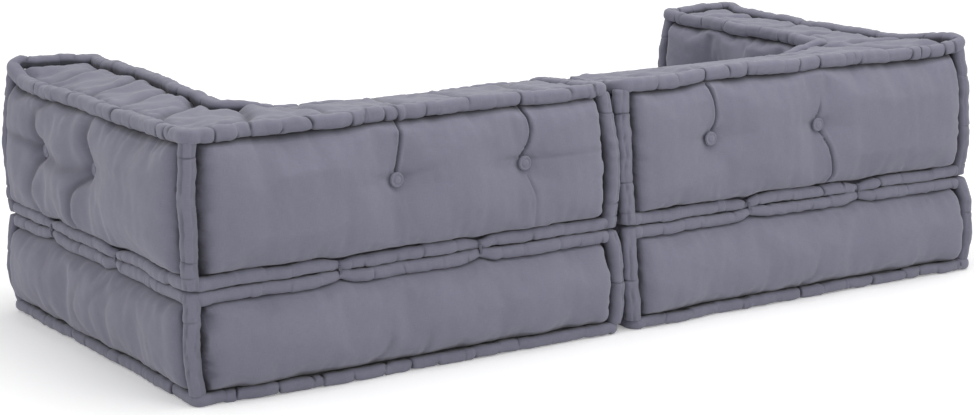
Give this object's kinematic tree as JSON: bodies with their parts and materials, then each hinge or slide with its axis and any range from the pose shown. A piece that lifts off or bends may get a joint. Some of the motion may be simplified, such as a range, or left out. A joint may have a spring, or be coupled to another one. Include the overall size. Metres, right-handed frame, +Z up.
{
  "type": "modular corner sofa",
  "caption": "Low tufted floor sofa of two mirror-image corner modules, each a stuffed seat block under an L-shaped back-and-arm block with rolled edges.",
  "frame": {"origin": "on the floor, in the middle of the sofa's box", "axes": "+X to a sitter's left, -Y to the front where the sitter faces, +Z up"},
  "size_m": [2.328, 1.0447, 0.614],
  "materials": {
    "cotton": "matte woven cotton",
    "twine": "waxed twine",
    "foam": "open-cell foam",
    "wadding": "soft wadding"
  },
  "bodies": {
    "left_module": {"left_arm_core": "foam", "left_arm_inner_button_1": "cotton", "left_arm_inner_button_2": "cotton", "left_arm_outer_button_1": "cotton", "left_arm_outer_button_2": "cotton", "left_arm_twine": "twine", "left_back_button_1": "cotton", "left_back_button_2": "cotton", "left_back_core": "foam", "left_back_twine": "twine", "left_base_bottom_roll": "cotton", "left_base_core": "foam", "left_base_corner_rolls": "cotton", "left_base_cover": "cotton", "left_base_top_roll": "cotton", "left_base_wadding": "wadding", "left_rear_button_1": "cotton", "left_rear_button_2": "cotton", "left_rear_waist_ties": "twine", "left_seat_buttons": "cotton", "left_seat_twine": "twine", "left_side_waist_ties": "twine", "left_underside_buttons": "cotton", "left_upper_bottom_roll": "cotton", "left_upper_corner_rolls": "cotton", "left_upper_cover": "cotton", "left_upper_top_roll": "cotton", "left_upper_wadding": "wadding"},
    "right_module": {"right_arm_core": "foam", "right_arm_inner_button_1": "cotton", "right_arm_inner_button_2": "cotton", "right_arm_outer_button_1": "cotton", "right_arm_outer_button_2": "cotton", "right_arm_twine": "twine", "right_back_button_1": "cotton", "right_back_button_2": "cotton", "right_back_core": "foam", "right_back_twine": "twine", "right_base_bottom_roll": "cotton", "right_base_core": "foam", "right_base_corner_rolls": "cotton", "right_base_cover": "cotton", "right_base_top_roll": "cotton", "right_base_wadding": "wadding", "right_rear_button_1": "cotton", "right_rear_button_2": "cotton", "right_rear_waist_ties": "twine", "right_seat_buttons": "cotton", "right_seat_twine": "twine", "right_side_waist_ties": "twine", "right_underside_buttons": "cotton", "right_upper_bottom_roll": "cotton", "right_upper_corner_rolls": "cotton", "right_upper_cover": "cotton", "right_upper_top_roll": "cotton", "right_upper_wadding": "wadding"}
  },
  "joints": [
    {"name": "module_slide", "type": "slide", "parent": "left_module", "child": "right_module", "axis": [-1, 0, 0], "range_m": [0, 0.5]}
  ]
}
